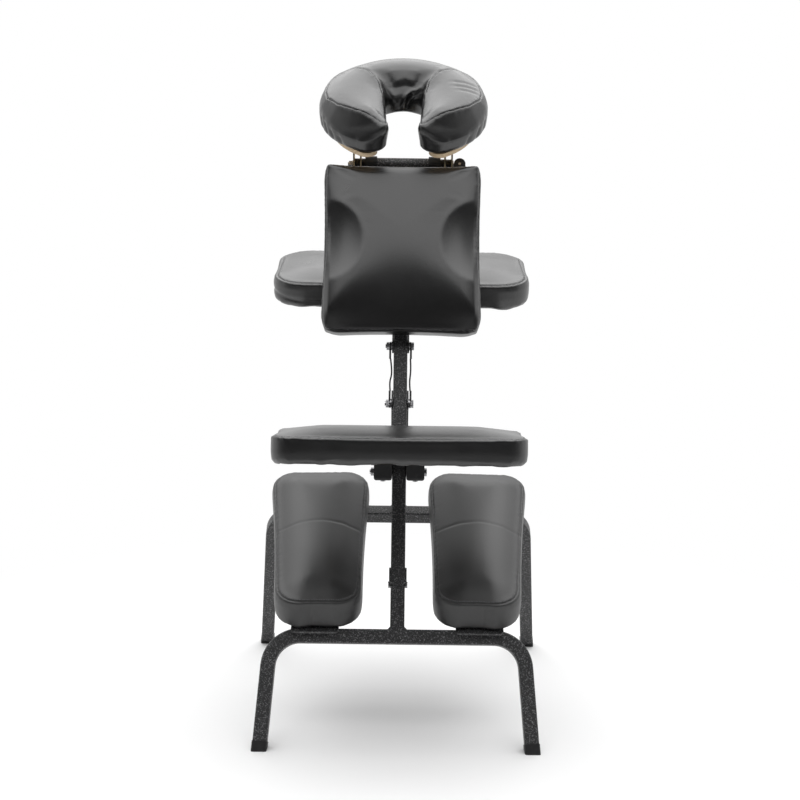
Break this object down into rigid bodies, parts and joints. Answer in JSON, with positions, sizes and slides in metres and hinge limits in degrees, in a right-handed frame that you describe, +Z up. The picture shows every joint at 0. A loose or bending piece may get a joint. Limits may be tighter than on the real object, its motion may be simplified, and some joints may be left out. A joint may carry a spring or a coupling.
{
  "type": "folding massage chair",
  "caption": "Folding massage chair: leaning post on bent tube feet, with padded seat, knee, chest, arm and horseshoe head rests; the front leg, armrest and head rest fold.",
  "frame": {"origin": "middle of the chair's box on the floor", "axes": "+Z up, +Y the way the sitter faces, +X the sitter's right hand"},
  "size_m": [0.573, 0.6598, 1.2017],
  "materials": {
    "black_leather": "satin",
    "hammered_coat": "hammered",
    "black_plastic": "matte",
    "plywood": "clear matte",
    "gold_zinc": "satin",
    "bright_steel": "bright",
    "black_cable": "satin"
  },
  "bodies": {
    "frame": {"main_post": "hammered_coat", "rear_foot": "hammered_coat", "rear_foot_caps": "black_plastic", "post_spigot": "hammered_coat", "splice_plates": "hammered_coat", "splice_pin": "bright_steel", "cross_bolts": "bright_steel", "cross_nuts": "bright_steel", "cross_washers": "bright_steel", "cable_eyes": "black_cable", "left_cable": "black_cable", "right_cable": "black_cable", "seat_blocks": "black_plastic", "seat_bolts": "bright_steel", "seat_nuts": "bright_steel", "seat_board": "plywood", "seat_pad": "black_leather", "seat_screws": "bright_steel", "chest_bracket": "hammered_coat", "chest_board": "plywood", "chest_pad": "black_leather", "chest_screws": "bright_steel", "stem_bush": "black_plastic", "knob_nut": "hammered_coat"},
    "front_leg": {"front_leg": "hammered_coat", "front_foot_caps": "black_plastic", "hinge_ears": "hammered_coat", "knee_plates": "hammered_coat", "knee_saddles": "hammered_coat", "knee_screws": "bright_steel", "left_knee_board": "plywood", "right_knee_board": "plywood", "left_knee_pad": "black_leather", "right_knee_pad": "black_leather"},
    "armrest": {"armrest_arms": "hammered_coat", "armrest_board": "plywood", "armrest_pad": "black_leather", "armrest_screws": "bright_steel"},
    "head_stem": {"face_rest_stem": "hammered_coat", "cross_tube_ends": "black_plastic", "clutch_spacers": "black_plastic", "rod_washers": "bright_steel", "clamp_nut": "bright_steel", "clamp_rod": "bright_steel", "cam_pin": "bright_steel"},
    "face_rest": {"cheek_plates": "gold_zinc", "cheek_screws": "bright_steel", "head_platform": "plywood", "head_cushion": "black_leather"},
    "cam_lever": {"cam_lever": "black_plastic"},
    "height_knob": {"height_knob": "black_plastic"}
  },
  "joints": [
    {"name": "front_leg_fold", "type": "hinge", "parent": "frame", "child": "front_leg", "pos_m": [0, -0.03818, 0.57029], "axis": [-1, 0, 0], "range_deg": [0, 45]},
    {"name": "armrest_fold", "type": "hinge", "parent": "frame", "child": "armrest", "pos_m": [0, 0.00441, 0.67063], "axis": [-1, 0, 0], "range_deg": [0, 70]},
    {"name": "face_rest_slide", "type": "slide", "parent": "frame", "child": "head_stem", "axis": [0, 0.3907, 0.9205], "range_m": [0, 0.06]},
    {"name": "face_rest_tilt", "type": "hinge", "parent": "head_stem", "child": "face_rest", "pos_m": [0, 0.1439, 0.99925], "axis": [1, 0, 0], "range_deg": [-30, 10]},
    {"name": "cam_lever_swing", "type": "hinge", "parent": "head_stem", "child": "cam_lever", "pos_m": [0.1075, 0.1439, 0.99925], "axis": [0, -0.9205, 0.3907], "range_deg": [0, 90]},
    {"name": "height_knob_turn", "type": "hinge", "parent": "frame", "child": "height_knob", "pos_m": [0, 0.11068, 0.92101], "axis": [0, 0.9205, -0.3907], "continuous": true}
  ]
}
